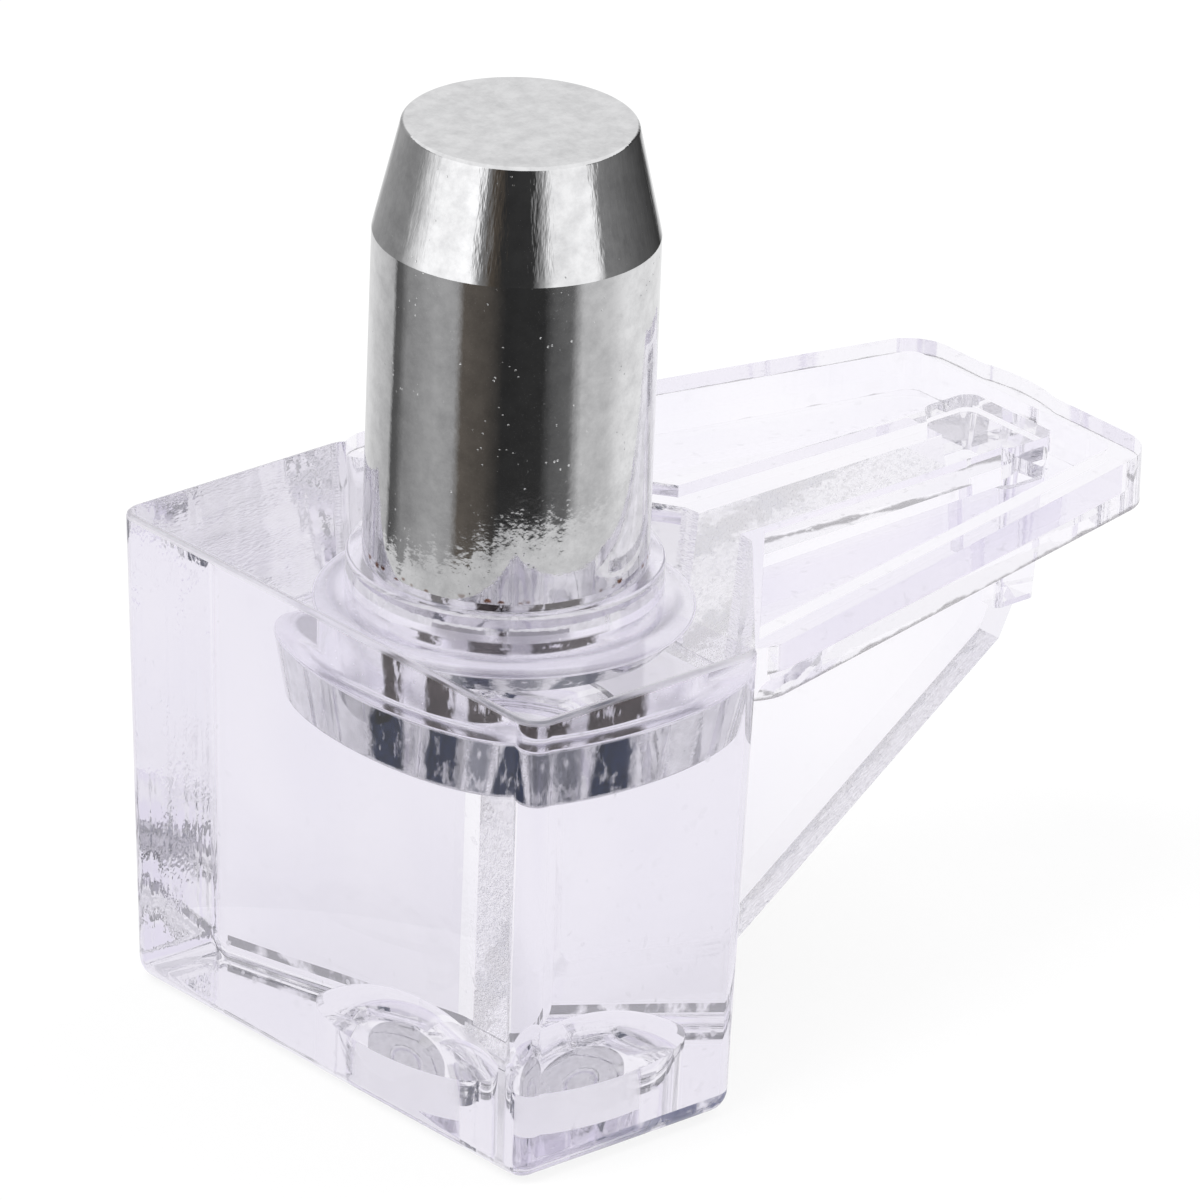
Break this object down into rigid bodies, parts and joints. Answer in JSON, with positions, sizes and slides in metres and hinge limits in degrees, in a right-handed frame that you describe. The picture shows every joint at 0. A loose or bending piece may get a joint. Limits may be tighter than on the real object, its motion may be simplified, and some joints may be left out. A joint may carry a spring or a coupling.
{
  "type": "shelf support pin",
  "caption": "Clear plastic shelf support: a block with a wall plate and a web behind it, and a steel pin that plugs into a 5 mm cabinet hole",
  "frame": {"origin": "on the pin's axis, in the flat face that lies against the cabinet side", "axes": "+Z out along the pin, +X down the wall plate and away from the shelf, +Y across the part"},
  "size_m": [0.0167, 0.0112, 0.0176],
  "materials": {
    "clear_plastic": "clear, polished sides, finely textured lower edge of the web",
    "bright_steel": "turned and bright plated, with fine pits"
  },
  "bodies": {
    "root": {"clear_body": "clear_plastic", "steel_pin": "bright_steel"}
  },
  "joints": []
}
